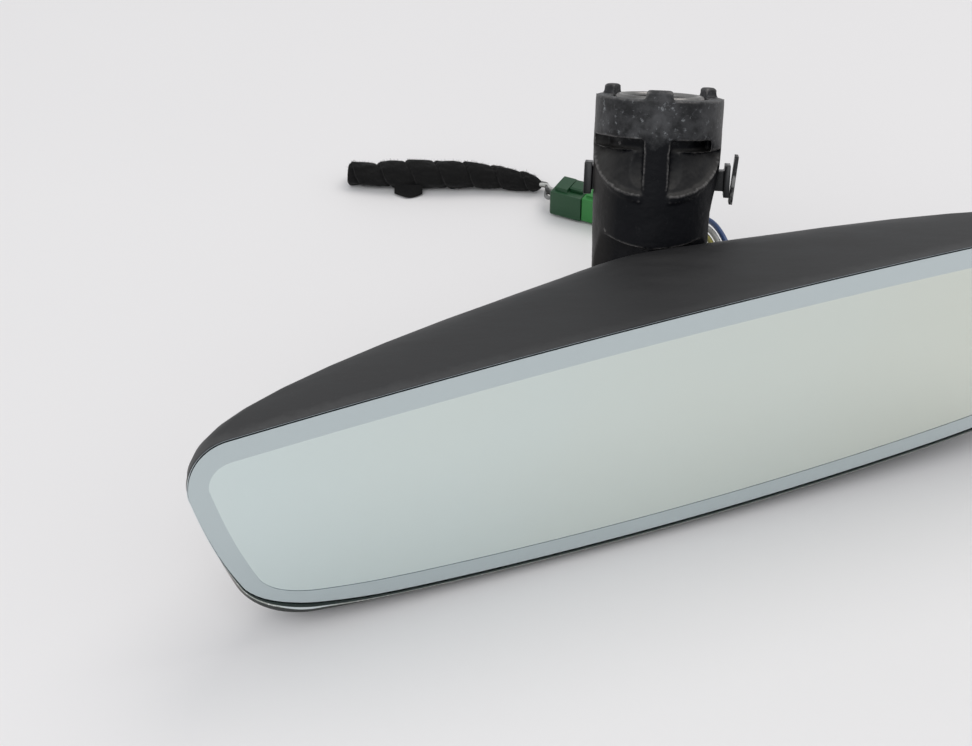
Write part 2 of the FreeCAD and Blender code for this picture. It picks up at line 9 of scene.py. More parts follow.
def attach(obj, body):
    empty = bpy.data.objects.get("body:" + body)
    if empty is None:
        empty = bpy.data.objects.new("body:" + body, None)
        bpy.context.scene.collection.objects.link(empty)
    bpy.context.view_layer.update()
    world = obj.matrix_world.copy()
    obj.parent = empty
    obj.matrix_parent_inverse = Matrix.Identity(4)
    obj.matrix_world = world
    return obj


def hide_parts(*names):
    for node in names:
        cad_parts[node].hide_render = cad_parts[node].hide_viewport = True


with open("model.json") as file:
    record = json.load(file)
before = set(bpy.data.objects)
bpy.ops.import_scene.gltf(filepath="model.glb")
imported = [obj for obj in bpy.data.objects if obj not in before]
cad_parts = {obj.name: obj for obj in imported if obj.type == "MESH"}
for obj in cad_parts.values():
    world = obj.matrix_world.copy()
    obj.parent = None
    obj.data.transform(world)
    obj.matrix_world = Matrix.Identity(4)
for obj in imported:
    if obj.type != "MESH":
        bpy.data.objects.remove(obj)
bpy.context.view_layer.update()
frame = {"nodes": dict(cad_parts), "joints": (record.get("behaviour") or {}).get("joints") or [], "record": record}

MM = 0.001
WELD_GAP = 0.001
NODES = frame["nodes"]
JOINTS = {j["name"]: j for j in frame["joints"]}

# Glass outline, millimetres, as in the CAD: (radius, turn in degrees) from the top centre to the left
OUTLINE_ARCS = ((2205.0, 2.93, 26), (10.2, 98.17, 22), (284.0, 6.2, 12), (21.5, 66.9, 20))
LOW_ARC_STEPS = 26
GLASS_T = 3.0
GLASS_ROUND = 2.3
EDGE_CURVE = 1.5
# How far in from the glass outline each loop lies: at the top, the ends, the bottom and the low corners
FACE_IN = (-2.3, -0.4, 3.4, 2.6)
ROUND_IN = (-1.3, -0.3, 0.3, 0.5)
BACK_IN = (-0.7, 0.0, 0.3, 0.2)
RING_IN = (3.8, 4.3, 8.0, 1.6)
LOW_CORNER_ARC = 3
LOW_CORNER_REACH = 17.0
RING_LAP = 0.2
RING_FRONT, RING_BACK = 0.25, 0.35
MIRROR_INSET, MIRROR_FRONT, MIRROR_BACK = 3.1, 0.4, 5.8
BALL_DEPTH = 28.0

# Housing dome, as in the CAD
RIM_Y = 3.3
HOUSING_INSET = 0.35
WALL = 1.6
DOME_DEPTH = 44.2
DOME_LONG, DOME_LONG_END = 2.2, 1.31
DOME_HIGH, DOME_HIGH_END = 8.0, 6.0
DOME_FALL = 4.0
DOME_CAP = 0.93

# Camera, metres in the row frame
CAMERA_AT = Vector((0.0, -0.4512, 0.2480))
CAMERA_AZIMUTH = 5.69
CAMERA_ELEVATION = 36.85
CAMERA_ROLL = -0.1
CAMERA_LENS = 73.43


# ---------------------------------------------------------------- frames


def head_matrix():
    """Head frame: the middle of the glass front, +X right, +Y into the head, +Z up."""
    x_axis = Vector(JOINTS["head_tilt"]["axis"]).normalized()
    y_axis = Vector(JOINTS["head_roll"]["axis"]).normalized()
    z_axis = x_axis.cross(y_axis)
    ball = Vector(JOINTS["head_roll"]["pos_m"])
    turn = Matrix((x_axis, y_axis, z_axis)).transposed().to_4x4()
    return Matrix.Translation(ball - y_axis * BALL_DEPTH * MM) @ turn


def stem_axis():
    mounts = {m["name"]: m for m in frame["record"]["mounts"]}
    return Vector(mounts["foot_ring"]["axis"]).normalized()


HEAD = head_matrix()
STEM_AXIS = stem_axis()


def from_head(points):
    return [HEAD @ (Vector(p) * MM) for p in points]


# ---------------------------------------------------------------- meshes


def add_piece(name, mesh, body, stands_for=(), materials=()):
    obj = bpy.data.objects.new(name, mesh)
    bpy.context.scene.collection.objects.link(obj)
    for material in materials:
        mesh.materials.append(material)
    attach(obj, body)
    if stands_for:
        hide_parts(*stands_for)
    return obj


def mesh_from(name, points, faces, indices=None, smooth=True):
    mesh = bpy.data.meshes.new(name)
    mesh.from_pydata([tuple(p) for p in points], [], faces)
    if indices:
        mesh.polygons.foreach_set("material_index", indices)
    mesh.validate()
    mesh.update()
    bm = bmesh.new()
    bm.from_mesh(mesh)
    bmesh.ops.recalc_face_normals(bm, faces=bm.faces)
    bm.to_mesh(mesh)
    bm.free()
    if smooth:
        mesh.polygons.foreach_set("use_smooth", [True] * len(mesh.polygons))
    return mesh


def sharpen(mesh, degrees):
    mesh.set_sharp_from_angle(angle=math.radians(degrees))


def baked_mesh(obj, name):
    """Mesh of obj with its modifiers applied."""
    depsgraph = bpy.context.evaluated_depsgraph_get()
    mesh = bpy.data.meshes.new_from_object(obj.evaluated_get(depsgraph), depsgraph=depsgraph)
    mesh.name = name
    return mesh


def cad_copy(node):
    """Loose copy of a CAD node's mesh, to be rebuilt into a new piece."""
    mesh = NODES[node].data.copy()
    mesh.materials.clear()
    obj = bpy.data.objects.new("working_" + node, mesh)
    bpy.context.scene.collection.objects.link(obj)
    return obj


def discard(obj):
    bpy.data.objects.remove(obj, do_unlink=True)


# ---------------------------------------------------------------- outline of the glass


def half_outline(inset):
    """Points of the left half in X and Z, from the top centre to the bottom centre."""
    points = []
    x, z, heading = 0.0, -inset, math.pi
    arcs = list(OUTLINE_ARCS) + [(None, None, LOW_ARC_STEPS)]
    for radius, turn, steps in arcs:
        sweep = 2 * math.pi - heading if radius is None else math.radians(turn)
        r = -x / math.sin(sweep) if radius is None else radius - inset
        cx, cz = x - r * math.sin(heading), z + r * math.cos(heading)
        for k in range(steps):
            h = heading + sweep * k / steps
            points.append((cx + r * math.sin(h), cz - r * math.cos(h)))
        heading += sweep
        x, z = cx + r * math.sin(heading), cz - r * math.cos(heading)
    points.append((x, z))
    return points


OUTLINE_MIDDLE = -half_outline(0.0)[-1][1] / 2


def outline(inset, shift=0.0):
    """Closed outline, counter-clockwise from the top centre seen from the front."""
    left = half_outline(inset)
    right = [(-x, z) for x, z in reversed(left[1:-1])]
    return [(x, z + OUTLINE_MIDDLE + shift) for x, z in left + right]


def bridge(first, second, count):
    """Quads between two rings of count points that start at these vertex numbers."""
    return [(first + i, first + (i + 1) % count, second + (i + 1) % count, second + i) for i in range(count)]


# ---------------------------------------------------------------- material kit


class Nodes:
    """Small builder for node materials in row-frame coordinates, scaled to millimetres."""

    def __init__(self, name):
        self.material = bpy.data.materials.new(name)
        self.material.use_nodes = True
        self.tree = self.material.node_tree
        self.shader = self.tree.nodes["Principled BSDF"]
        coords = self.tree.nodes.new("ShaderNodeTexCoord")
        scale = self.tree.nodes.new("ShaderNodeVectorMath")
        scale.operation = "SCALE"
        scale.inputs["Scale"].default_value = 1 / MM
        self.link(coords.outputs["Object"], scale.inputs[0])
        self.place = scale.outputs["Vector"]

    def link(self, source, target):
        self.tree.links.new(source, target)

    def feed(self, socket, value):
        if isinstance(value, bpy.types.NodeSocket):
            self.link(value, socket)
        else:
            socket.default_value = value

    def set(self, **inputs):
        for name, value in inputs.items():
            if isinstance(value, tuple) and len(value) == 3:
                value = (*value, 1.0)
            self.feed(self.shader.inputs[name.replace("_", " ")], value)

    def noise(self, size, detail=4.0, rough=0.55, place=None, distort=0.0):
        """Noise from 0 to 1 with features about size millimetres across."""
        node = self.tree.nodes.new("ShaderNodeTexNoise")
        node.inputs["Scale"].default_value = 1.0 / size
        node.inputs["Detail"].default_value = detail
        node.inputs["Roughness"].default_value = rough
        node.inputs["Distortion"].default_value = distort
        self.link(place or self.place, node.inputs["Vector"])
        return node.outputs["Fac"]

    def cells(self, size, place=None, feature="F1"):
        node = self.tree.nodes.new("ShaderNodeTexVoronoi")
        node.feature = feature
        node.inputs["Scale"].default_value = 1.0 / size
        self.link(place or self.place, node.inputs["Vector"])
        return node.outputs["Distance"]

    def stretch(self, factors, turn=(0, 0, 0)):
        node = self.tree.nodes.new("ShaderNodeMapping")
        node.inputs["Scale"].default_value = factors
        node.inputs["Rotation"].default_value = turn
        self.link(self.place, node.inputs["Vector"])
        return node.outputs["Vector"]

    def ramp(self, value, low, high, out_low=0.0, out_high=1.0):
        node = self.tree.nodes.new("ShaderNodeMapRange")
        node.clamp = True
        for name, v in (("From Min", low), ("From Max", high), ("To Min", out_low), ("To Max", out_high)):
            self.feed(node.inputs[name], v)
        self.link(value, node.inputs["Value"])
        return node.outputs["Result"]

    def math(self, operation, a, b=0.0):
        node = self.tree.nodes.new("ShaderNodeMath")
        node.operation = operation
        self.feed(node.inputs[0], a)
        self.feed(node.inputs[1], b)
        return node.outputs[0]

    def mix(self, factor, a, b):
        node = self.tree.nodes.new("ShaderNodeMix")
        node.data_type = "RGBA"
        self.feed(node.inputs["Factor"], factor)
        for socket, value in ((node.inputs["A"], a), (node.inputs["B"], b)):
            if isinstance(value, tuple) and len(value) == 3:
                value = (*value, 1.0)
            self.feed(socket, value)
        return node.outputs["Result"]

    def along(self, axis, origin=(0, 0, 0)):
        """Distance in millimetres along axis from origin, both in the row frame."""
        offset = self.tree.nodes.new("ShaderNodeVectorMath")
        offset.operation = "SUBTRACT"
        self.link(self.place, offset.inputs[0])
        offset.inputs[1].default_value = Vector(origin) / MM
        dot = self.tree.nodes.new("ShaderNodeVectorMath")
        dot.operation = "DOT_PRODUCT"
        self.link(offset.outputs["Vector"], dot.inputs[0])
        dot.inputs[1].default_value = axis
        return dot.outputs["Value"]

    def bump(self, *layers):
        """Bump from (height 0 to 1, depth in millimetres) layers."""
        normal = None
        for height, depth in layers:
            node = self.tree.nodes.new("ShaderNodeBump")
            node.inputs["Distance"].default_value = depth * MM
            node.inputs["Strength"].default_value = 1.0
            self.link(height, node.inputs["Height"])
            if normal is not None:
                self.link(normal, node.inputs["Normal"])
            normal = node.outputs["Normal"]
        self.link(normal, self.shader.inputs["Normal"])

    def facing(self, axis, low, high):
        """1 where the surface faces along axis, 0 where it faces away."""
        geometry = self.tree.nodes.new("ShaderNodeNewGeometry")
        dot = self.tree.nodes.new("ShaderNodeVectorMath")
        dot.operation = "DOT_PRODUCT"
        self.link(geometry.outputs["Normal"], dot.inputs[0])
        dot.inputs[1].default_value = axis
        return self.ramp(dot.outputs["Value"], low, high)

    def worn_edges(self, low=0.52, high=0.6):
        node = self.tree.nodes.new("ShaderNodeNewGeometry")
        return self.ramp(node.outputs["Pointiness"], low, high)


def grey(value, warm=0.0):
    return (value * (1 + warm), value, value * (1 - warm))


def moulded_plastic(name, colour, rough=0.45, grain=0.35, depth=0.02, dust=0.12):
    """Moulded plastic with a fine grain, faint flow marks and dust."""
    n = Nodes(name)
    fine = n.noise(grain, 2.0, 0.6)
    flow = n.noise(14.0, 3.0, 0.5)
    specks = n.ramp(n.noise(1.1, 6.0, 0.75), 0.62, 0.75)
    light = tuple(c + dust * 0.5 for c in colour)
    shade = tuple(c * 0.72 for c in colour)
    base = n.mix(flow, shade, colour)
    n.set(Base_Color=n.mix(n.math("MULTIPLY", specks, dust * 2), base, light))
    n.set(Roughness=n.ramp(flow, 0.2, 0.8, rough - 0.06, rough + 0.08))
    n.bump((fine, depth), (flow, depth * 2))
    return n.material


def metal(name, colour, rough=0.3, brushed=(1, 1, 14), depth=0.012):
    """Metal with fine directional scratches and slight tarnish."""
    n = Nodes(name)
    scratches = n.noise(1.2, 3.0, 0.7, n.stretch(brushed))
    tarnish = n.noise(5.0, 4.0, 0.6)
    dark = tuple(c * 0.55 for c in colour)
    n.set(Base_Color=n.mix(n.ramp(tarnish, 0.35, 0.75), colour, dark), Metallic=1.0)
    n.set(Roughness=n.ramp(scratches, 0.3, 0.7, rough - 0.08, rough + 0.14))
    n.bump((scratches, depth))
    return n.material


# ---------------------------------------------------------------- finishes


def cast_material():
    """Die casting: worn grey zinc on the foot, worn black paint below it, bright on rubbed edges, and painted
    highlight on up-facing surfaces.
    """
    n = Nodes("worn_casting")
    height = n.along(STEM_AXIS)
    patches = n.noise(5.0, 5.0, 0.65)
    fine = n.noise(0.5, 3.0, 0.6)
    border = n.math("ADD", height, n.ramp(patches, 0.2, 0.8, -3.0, 3.0))
    bare = n.ramp(border, -11.5, -8.0)
    zinc = n.mix(n.ramp(patches, 0.4, 0.68), (0.010, 0.010, 0.011), (0.058, 0.058, 0.061))
    zinc = n.mix(n.ramp(n.noise(1.6, 6.0, 0.75), 0.58, 0.72), zinc, (0.26, 0.27, 0.28))
    paint = n.mix(n.noise(9.0, 4.0, 0.6), (0.002, 0.0026, 0.0036), (0.007, 0.007, 0.009))
    side = n.ramp(n.along(Vector((-1, 0, 0))), 9.0, 15.0)
    paint = n.mix(n.math("MULTIPLY", side, 0.75), paint, (0.036, 0.033, 0.031))
    scuffs = n.ramp(n.noise(2.2, 8.0, 0.8), 0.6, 0.72)
    paint = n.mix(n.math("MULTIPLY", scuffs, 0.35), paint, (0.09, 0.09, 0.09))
    # Partly dust and partly painted highlight: surfaces that face up the stem, such as the pocket lips and floors,
    # are painted lighter as if lit from above.
    lighter_facing_up = n.math("MULTIPLY", n.facing(STEM_AXIS, 0.06, 0.5), n.ramp(patches, 0.3, 0.6, 0.35, 0.9))
    paint = n.mix(lighter_facing_up, paint, (0.05, 0.048, 0.046))
    worn = n.math("MULTIPLY", n.worn_edges(0.515, 0.56), n.ramp(n.noise(3.0, 4.0, 0.7), 0.35, 0.55))
    base = n.mix(bare, paint, zinc)
    n.set(Base_Color=n.mix(n.math("MULTIPLY", worn, 0.7), base, (0.2, 0.19, 0.185)), Specular_IOR_Level=n.ramp(bare, 0, 1, 0.12, 0.4))
    n.set(Metallic=n.math("MULTIPLY", bare, 0.25), Roughness=n.ramp(patches, 0.2, 0.8, 0.38, 0.58))
    n.bump((fine, 0.05), (patches, 0.12))
    return n.material


def housing_material():
    """Satin black plastic with a dusty band by the glass, faint wiping marks and painted shade towards the stem.
    """
    n = Nodes("satin_housing")
    y_axis = HEAD.to_3x3() @ Vector((0, 1, 0))
    back = n.along(y_axis, HEAD.translation)
    grain = n.noise(0.28, 2.0, 0.5)
    wipes = n.noise(7.0, 5.0, 0.6, n.stretch((0.3, 1, 1), (0, 0, math.radians(26))))
    dust = n.ramp(n.noise(1.0, 8.0, 0.8), 0.58, 0.78)
    rim = n.ramp(n.math("ADD", back, n.ramp(n.noise(3.0, 4.0, 0.7), 0, 1, -2.5, 2.5)), 2.5, 8.0, 1.0, 0.0)
    base = n.mix(wipes, (0.009, 0.009, 0.010), (0.024, 0.023, 0.023))
    base = n.mix(n.math("MULTIPLY", dust, 0.22), base, (0.16, 0.155, 0.15))
    base = n.mix(n.math("MULTIPLY", rim, 0.22), base, (0.2, 0.2, 0.2))
    # Painted shade: the housing is darkened towards the stem, standing for the stem's shadow and its dark
    # reflection.
    from_stem = n.math("ABSOLUTE", n.along(HEAD.to_3x3() @ Vector((1, 0, 0)), HEAD.translation))
    base = n.mix(n.ramp(from_stem, 8.0, 85.0, 0.62, 0.0), base, (0.004, 0.0043, 0.0048))
    n.set(Base_Color=base, Roughness=n.ramp(wipes, 0.25, 0.75, 0.42, 0.58))
    n.bump((grain, 0.016), (wipes, 0.05))
    return n.material


def pane_material():
    """Front surface of the glass: clear, with a faint reflection and a few specks."""
    n = Nodes("clear_pane")
    tree = n.tree
    clear = tree.nodes.new("ShaderNodeBsdfTransparent")
    clear.inputs["Color"].default_value = (0.97, 0.985, 0.975, 1)
    gloss = tree.nodes.new("ShaderNodeBsdfGlossy")
    gloss.inputs["Color"].default_value = (1, 1, 1, 1)
    n.feed(gloss.inputs["Roughness"], n.ramp(n.noise(30.0, 2.0, 0.5), 0.3, 0.7, 0.0, 0.01))
    facing = tree.nodes.new("ShaderNodeLayerWeight")
    facing.inputs["Blend"].default_value = 0.12
    shader = tree.nodes.new("ShaderNodeMixShader")
    n.link(facing.outputs["Fresnel"], shader.inputs["Fac"])
    n.link(clear.outputs["BSDF"], shader.inputs[1])
    n.link(gloss.outputs["BSDF"], shader.inputs[2])
    specks = n.ramp(n.noise(2.4, 8.0, 0.85), 0.735, 0.76, 0.0, 0.5)
    dirt = tree.nodes.new("ShaderNodeMixShader")
    n.link(specks, dirt.inputs["Fac"])
    n.link(shader.outputs["Shader"], dirt.inputs[1])
    n.set(Base_Color=(0.3, 0.3, 0.28), Roughness=0.8)
    n.link(n.shader.outputs["BSDF"], dirt.inputs[2])
    output = tree.nodes["Material Output"]
    n.link(dirt.outputs["Shader"], output.inputs["Surface"])
    return n.material


def ground_edge_material(name, dark, light, low_left_reflection, amount, rough, shine):
    """Ground glass edge with small bright chips, lighter grey where it faces up, and a painted reflection of the
    pale table where it faces down and left.
    """
    n = Nodes(name)
    chips = n.ramp(n.noise(0.8, 6.0, 0.8), 1.0 - amount, 1.04 - amount)
    streaks = n.noise(6.0, 4.0, 0.7)
    base = n.mix(streaks, dark, tuple(c * 1.8 for c in dark))
    # Lighter grey where the edge faces up.
    lighter_facing_up = n.mix(streaks, (0.018, 0.019, 0.02), (0.04, 0.042, 0.044))
    base = n.mix(n.facing((0, 0, 1), 0.25, 0.6), base, lighter_facing_up)
    # Painted reflection: where the edge faces down and left, it takes a colour that stands for the pale table it
    # would reflect.
    base = n.mix(n.facing((-0.8, 0, -0.6), 0.5, 0.85), base, low_left_reflection)
    n.set(Base_Color=n.mix(chips, base, light), Roughness=rough, Specular_IOR_Level=shine)
    n.bump((n.noise(0.5, 4.0, 0.7), 0.05))
    return n.material


def coating_material(name, left, right, rough):
    """Vacuum-deposited metal whose tint drifts from the left end of the glass to the right."""
    n = Nodes(name)
    x_axis = HEAD.to_3x3() @ Vector((1, 0, 0))
    drift = n.math("ADD", n.along(x_axis, HEAD.translation), n.ramp(n.noise(60.0), 0, 1, -40, 40))
    haze = n.noise(9.0, 5.0, 0.6)
    n.set(Base_Color=n.mix(n.ramp(drift, -110.0, 90.0), left, right), Metallic=1.0)
    n.set(Roughness=n.ramp(haze, 0.3, 0.7, rough, rough + 0.012))
    return n.material


def insulation(name, colour):
    """Wire insulation, slightly dirty and glossy."""
    n = Nodes(name)
    dirt = n.ramp(n.noise(2.5, 6.0, 0.7), 0.45, 0.7)
    n.set(Base_Color=n.mix(n.math("MULTIPLY", dirt, 0.45), colour, tuple(c * 0.35 for c in colour)))
    n.set(Roughness=n.ramp(dirt, 0.0, 1.0, 0.32, 0.6))
    n.bump((n.noise(1.2, 3.0, 0.6), 0.03))
    return n.material


def fleece_material():
    """Black fleece tape: matt napped fibre with a short sheen."""
    n = Nodes("fleece_tape")
    nap = n.noise(0.35, 5.0, 0.8, n.stretch((1.6, 0.8, 1)))
    pile = n.noise(2.4, 5.0, 0.7)
    base = n.mix(pile, (0.004, 0.004, 0.0045), (0.012, 0.0115, 0.011))
    n.set(Base_Color=n.mix(n.ramp(nap, 0.5, 0.8), base, (0.022, 0.022, 0.022)), Roughness=0.95)
    n.set(Sheen_Weight=0.06, Sheen_Roughness=0.5, Specular_IOR_Level=0.15)
    n.bump((nap, 0.18), (pile, 0.25))
    return n.material


def board_material():
    """Circuit board laminate with copper tracks under the green mask."""
    n = Nodes("board_laminate")
    tracks = n.ramp(n.cells(2.4, n.stretch((1, 1, 0.25)), "DISTANCE_TO_EDGE"), 0.06, 0.1)
    weave = n.noise(0.6, 2.0, 0.5)
    n.set(Base_Color=n.mix(tracks, (0.02, 0.13, 0.05), (0.01, 0.07, 0.03)))
    n.set(Roughness=n.ramp(weave, 0, 1, 0.3, 0.5))
    n.bump((tracks, 0.035), (weave, 0.01))
    return n.material


def foam_material(name, colour):
    n = Nodes(name)
    pores = n.ramp(n.cells(0.5), 0.1, 0.5)
    n.set(Base_Color=n.mix(pores, tuple(c * 0.5 for c in colour), colour), Roughness=0.9)
    n.bump((pores, 0.12))
    return n.material


def clear_part(name, tint, rough=0.08):
    n = Nodes(name)
    swirl = n.noise(3.0, 3.0, 0.5)
    n.set(Base_Color=n.mix(swirl, tint, tuple(c * 0.8 for c in tint)), Roughness=rough)
    n.set(Coat_Weight=0.6, IOR=1.5)
    n.bump((swirl, 0.02))
    return n.material


def floor_material():
    n = Nodes("pale_table")
    mottle = n.noise(160.0, 3.0, 0.5)
    n.set(Base_Color=n.mix(mottle, (0.80, 0.785, 0.785), (0.83, 0.815, 0.812)), Roughness=0.55)
    n.set(Specular_IOR_Level=0.25)
    n.bump((n.noise(1.5, 3.0, 0.6), 0.01))
    return n.material


def make_materials():
    return {
        "casting": cast_material(),
        "housing": housing_material(),
        "pane": pane_material(),
        "edge_line": ground_edge_material("ground_edge_inner", (0.010, 0.018, 0.016), (0.2, 0.2, 0.2),
                                          (0.03, 0.032, 0.03), 0.2, 0.3, 0.1),
        # Painted highlight: this band is coloured bright, with sparkles, to stand for the light caught along the
        # glass edge.
        "edge_glint": ground_edge_material("ground_edge_glint", (0.26, 0.28, 0.25), (0.85, 0.87, 0.85),
                                           (0.12, 0.12, 0.11), 0.46, 0.2, 0.5),
        # The last colour of the outer band is a painted reflection of the table at the low left corner.
        "edge_dark": ground_edge_material("ground_edge_outer", (0.010, 0.013, 0.011), (0.3, 0.3, 0.29),
                                          (0.24, 0.225, 0.205), 0.24, 0.4, 0.12),
        "ring": coating_material("ring_coating", (0.57, 0.625, 0.655), (0.61, 0.66, 0.69), 0.12),
        "mirror": coating_material("mirror_coating", (0.72, 0.79, 0.80), (0.75, 0.765, 0.71), 0.0),
        "steel": metal("turned_steel", (0.56, 0.56, 0.57), 0.28),
        "spring": metal("spring_steel", (0.32, 0.31, 0.30), 0.34, (6, 1, 1)),
        "brass": metal("tinned_brass", (0.72, 0.62, 0.38), 0.3),
        "black": moulded_plastic("black_moulding", (0.018, 0.018, 0.019), 0.42),
        "clip": moulded_plastic("clip_moulding", (0.012, 0.012, 0.013), 0.36, dust=0.25),
        "natural": moulded_plastic("natural_nylon", (0.62, 0.6, 0.54), 0.4, dust=0.05),
        "chip": moulded_plastic("chip_package", (0.014, 0.014, 0.015), 0.55, 0.2, dust=0.04),
        "plug": moulded_plastic("dark_green_plug", (0.008, 0.062, 0.02), 0.45, dust=0.1),
        "receptacle": moulded_plastic("green_receptacle", (0.025, 0.22, 0.04), 0.45, dust=0.08),
        "epoxy": moulded_plastic("seal_epoxy", (0.3, 0.31, 0.31), 0.35, 0.8, dust=0.03),
        "gel": clear_part("electrochromic_gel", (0.55, 0.62, 0.6)),
        "lens": clear_part("smoked_lens", (0.02, 0.015, 0.018)),
        "clear": clear_part("clear_lens", (0.6, 0.62, 0.62)),
        "gasket": foam_material("gasket_foam", (0.016, 0.016, 0.016)),
        "foam": foam_material("adhesive_foam", (0.25, 0.25, 0.25)),
        "board": board_material(),
        "leaf": leaf_material(),
        "blue": insulation("blue_insulation", (0.035, 0.08, 0.22)),
        "grey": insulation("pale_grey_insulation", (0.5, 0.5, 0.48)),
        "yellow": insulation("yellow_insulation", (0.42, 0.38, 0.08)),
        "brown": insulation("brown_insulation", (0.05, 0.032, 0.022)),
        "dark": insulation("black_insulation", (0.014, 0.014, 0.014)),
        "mid": insulation("mid_grey_insulation", (0.22, 0.22, 0.22)),
        "tape": fleece_material(),
    }


def leaf_material():
    """Blackened spring leaf, rubbed bright on its outer face and edges."""
    n = Nodes("blackened_leaf")
    rub = n.ramp(n.noise(5.0, 5.0, 0.7), 0.5, 0.62)
    n.set(Base_Color=n.mix(rub, (0.012, 0.012, 0.013), (0.22, 0.215, 0.21)), Metallic=0.4)
    n.set(Roughness=n.ramp(rub, 0, 1, 0.5, 0.3))
    n.bump((rub, 0.03))
    return n.material


# ---------------------------------------------------------------- carried-over CAD nodes

FINISHES = {
    "steel": "ball_stud foot_screw pressure_cup clamp_plate clamp_screws board_screws",
    "spring": "foot_spring friction_spring",
    "brass": "receptacle_pins plug_terminals bus_clips",
    "black": "carrier_plate socket_base recess_trim",
    "clip": "left_cover_clip right_cover_clip spring_seat",
    "leaf": "clip_leaf",
    "natural": "ball_liner board_header",
    "chip": "board_components",
    "plug": "plug_housing plug_lock",
    "receptacle": "receptacle",
    "epoxy": "cell_seal",
    "gel": "dimming_gel",
    "lens": "light_sensor sensor_window",
    "clear": "glare_sensor",
    "gasket": "edge_gasket",
    "foam": "foam_tape",
    "board": "circuit_board",
    "housing": "rear_housing",
}
SHELL_EDGE = 34
BEVELLED = {
    "left_cover_clip": 0.35, "right_cover_clip": 0.35, "clip_leaf": 0.12, "plug_housing": 0.35,
    "plug_lock": 0.3, "receptacle": 0.25, "board_components": 0.15, "board_header": 0.2,
}


def finish_nodes(materials):
    for finish, names in FINISHES.items():
        for name in names.split():
            mesh = NODES[name].data
            mesh.materials.clear()
            mesh.materials.append(materials[finish])
            mesh.polygons.foreach_set("use_smooth", [True] * len(mesh.polygons))
            if name in BEVELLED:
                soften(NODES[name], BEVELLED[name])
    smooth_facets(NODES["rear_housing"])


def soften(obj, width):
    """Rounds the sharp edges of a boxy node."""
    weld = obj.modifiers.new("weld", "WELD")
    weld.merge_threshold = WELD_GAP * MM
    bevel = obj.modifiers.new("round_edges", "BEVEL")
    bevel.width = width * MM
    bevel.segments = 3
    bevel.limit_method = "ANGLE"
    bevel.angle_limit = math.radians(35)
    bevel.harden_normals = True


def smooth_facets(obj):
    """Shades the bands of a faceted shell as one smooth surface, and keeps its real edges sharp."""
    normals = obj.data.attributes.get("custom_normal")
    if normals:
        obj.data.attributes.remove(normals)
    weld = obj.modifiers.new("weld", "WELD")
    weld.merge_threshold = WELD_GAP * MM
    split = obj.modifiers.new("real_edges", "EDGE_SPLIT")
    split.split_angle = math.radians(SHELL_EDGE)
    split.use_edge_sharp = False


# ---------------------------------------------------------------- new meshes: glass


def low_corner():
    """Middle of the outline's low left corner arc."""
    steps = [arc[2] for arc in OUTLINE_ARCS]
    return outline(0.0)[sum(steps[:LOW_CORNER_ARC]) + steps[LOW_CORNER_ARC] // 2]


def loop_inside(top, side, low, corner, grow=0.0):
    """Outline of the glass moved in by these amounts at its top, ends, bottom and low corners."""
    corner_x, corner_z = low_corner()
    loop = []
    for (x, z), (inner_x, inner_z) in zip(outline(0.0), outline(1.0)):
        across = (inner_x - x) ** 2
        up, down = max(0.0, z - inner_z) ** 2, max(0.0, inner_z - z) ** 2
        near = math.exp(-((abs(x) - abs(corner_x)) ** 2 + (z - corner_z) ** 2) / LOW_CORNER_REACH ** 2)
        inset = top * up + side * across + low * down + corner * near - grow
        loop.append((x + (inner_x - x) * inset, z + (inner_z - z) * inset))
    return loop


def build_glass(materials):
    """Front glass with a ground round edge that is wider along the bottom and carries a painted highlight line."""
    face = loop_inside(*FACE_IN)
    edge = loop_inside(*ROUND_IN)
    count = len(face)
    steps = 10
    points, faces, indices = [], [], []
    for k in range(steps + 1):
        s = k / steps
        y = GLASS_ROUND * s ** EDGE_CURVE
        points += [(a[0] + (b[0] - a[0]) * s, y, a[1] + (b[1] - a[1]) * s) for a, b in zip(face, edge)]
    points += [(x, GLASS_T, z) for x, z in loop_inside(*BACK_IN)]
    for k in range(steps + 1):
        faces += bridge(k * count, (k + 1) * count, count)
        # Band 2 is the painted highlight line.
        band = 1 if k < 3 else 2 if k < 5 else 3
        indices += [band] * count
    faces.append(tuple(range(count)))
    indices.append(0)
    faces.append(tuple(reversed(range((steps + 1) * count, (steps + 2) * count))))
    indices.append(3)
    mesh = mesh_from("front_glass_pane", from_head(points), faces, indices)
    sharpen(mesh, 30)
    slots = [materials[m] for m in ("pane", "edge_line", "edge_glint", "edge_dark")]
    add_piece("front_glass_pane", mesh, "head", ["front_glass"], slots)


def build_ring(materials):
    """Ring coating that frames the mirror, wider at the top than at the bottom."""
    outer, inner = loop_inside(*FACE_IN, grow=RING_LAP), loop_inside(*RING_IN)
    count = len(outer)
    points = []
    for loop, y in ((outer, RING_FRONT), (inner, RING_FRONT), (inner, RING_BACK), (outer, RING_BACK)):
        points += [(x, y, z) for x, z in loop]
    faces = []
    for k in range(4):
        faces += bridge(k * count, (k + 1) % 4 * count, count)
    mesh = mesh_from("ring_coating", from_head(points), faces)
    sharpen(mesh, 30)
    add_piece("ring_coating", mesh, "head", ["chrome_ring"], [materials["ring"]])


def build_mirror(materials):
    loop = outline(MIRROR_INSET)
    count = len(loop)
    points = [(x, y, z) for y in (MIRROR_FRONT, MIRROR_BACK) for x, z in loop]
    faces = bridge(0, count, count)
    faces.append(tuple(range(count)))
    faces.append(tuple(reversed(range(count, 2 * count))))
    mesh = mesh_from("mirror_glass", from_head(points), faces)
    sharpen(mesh, 30)
    add_piece("mirror_glass", mesh, "head", ["rear_glass"], [materials["mirror"]])


# ---------------------------------------------------------------- new meshes: casting


CAST_VOXEL = 0.4
CAST_SMOOTH = 5
CAST_ROUGH = 0.1


